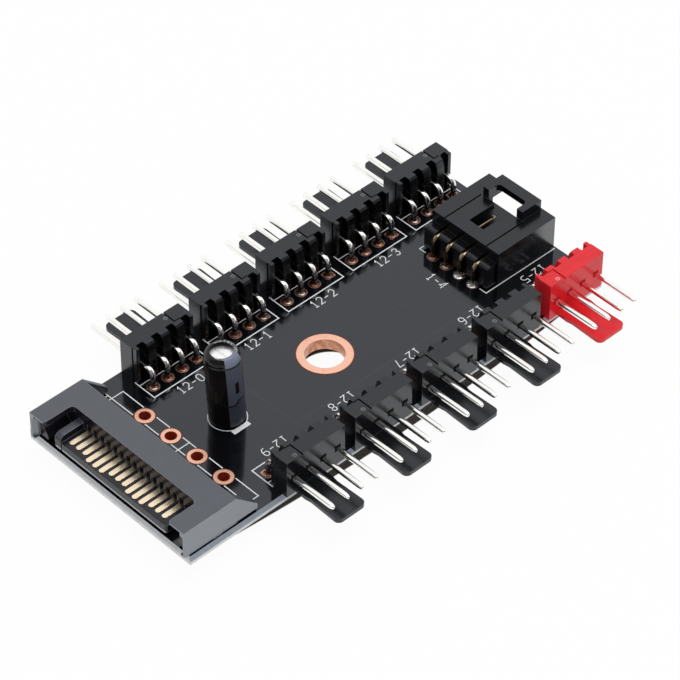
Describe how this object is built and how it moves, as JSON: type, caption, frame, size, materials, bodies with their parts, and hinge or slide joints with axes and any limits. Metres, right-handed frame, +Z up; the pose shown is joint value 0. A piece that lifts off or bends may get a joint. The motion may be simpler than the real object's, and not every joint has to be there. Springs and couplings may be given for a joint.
{
  "type": "pc fan controller hub",
  "caption": "Black circuit board with rows of right-angle fan headers, a drive power plug, a latching control header, a capacitor and an adhesive pad.",
  "frame": {"origin": "on the mounting hole's axis, at the board's underside", "axes": "+X along the board from the drive power plug to the control header, +Y to the row of fan headers numbered 0 to 4, +Z up out of the board's top"},
  "size_m": [0.0758, 0.0476, 0.0159],
  "materials": {
    "solder_mask": "gloss",
    "copper": "satin",
    "plug_moulding": "matte",
    "gold_contact": "polished",
    "header_black": "matte",
    "header_red": "satin",
    "tinned_pin": "satin",
    "capacitor_can": "satin",
    "capacitor_sleeve": "gloss",
    "bung_rubber": "matte",
    "pad_foam": "matte",
    "liner_paper": "matte"
  },
  "bodies": {
    "root": {"adhesive_pad": "pad_foam", "capacitor_bung": "bung_rubber", "capacitor_can": "capacitor_can", "capacitor_leads": "tinned_pin", "capacitor_sleeve": "capacitor_sleeve", "circuit_board": "solder_mask", "control_header": "header_black", "control_pin_1": "gold_contact", "control_pin_2": "gold_contact", "control_pin_3": "gold_contact", "control_pin_4": "gold_contact", "fan_header_0": "header_black", "fan_header_1": "header_black", "fan_header_2": "header_black", "fan_header_3": "header_black", "fan_header_4": "header_black", "fan_header_5": "header_red", "fan_header_6": "header_black", "fan_header_7": "header_black", "fan_header_8": "header_black", "fan_header_9": "header_black", "fan_pins_0": "tinned_pin", "fan_pins_1": "tinned_pin", "fan_pins_2": "tinned_pin", "fan_pins_3": "tinned_pin", "fan_pins_4": "tinned_pin", "fan_pins_5": "tinned_pin", "fan_pins_6": "tinned_pin", "fan_pins_7": "tinned_pin", "fan_pins_8": "tinned_pin", "fan_pins_9": "tinned_pin", "mounting_hole_ring": "copper", "power_contact_01": "gold_contact", "power_contact_02": "gold_contact", "power_contact_03": "gold_contact", "power_contact_04": "gold_contact", "power_contact_05": "gold_contact", "power_contact_06": "gold_contact", "power_contact_07": "gold_contact", "power_contact_08": "gold_contact", "power_contact_09": "gold_contact", "power_contact_10": "gold_contact", "power_contact_11": "gold_contact", "power_contact_12": "gold_contact", "power_contact_13": "gold_contact", "power_contact_14": "gold_contact", "power_contact_15": "gold_contact", "power_plug_shell": "plug_moulding", "release_liner": "liner_paper", "spare_power_eyelets": "copper"}
  },
  "joints": []
}
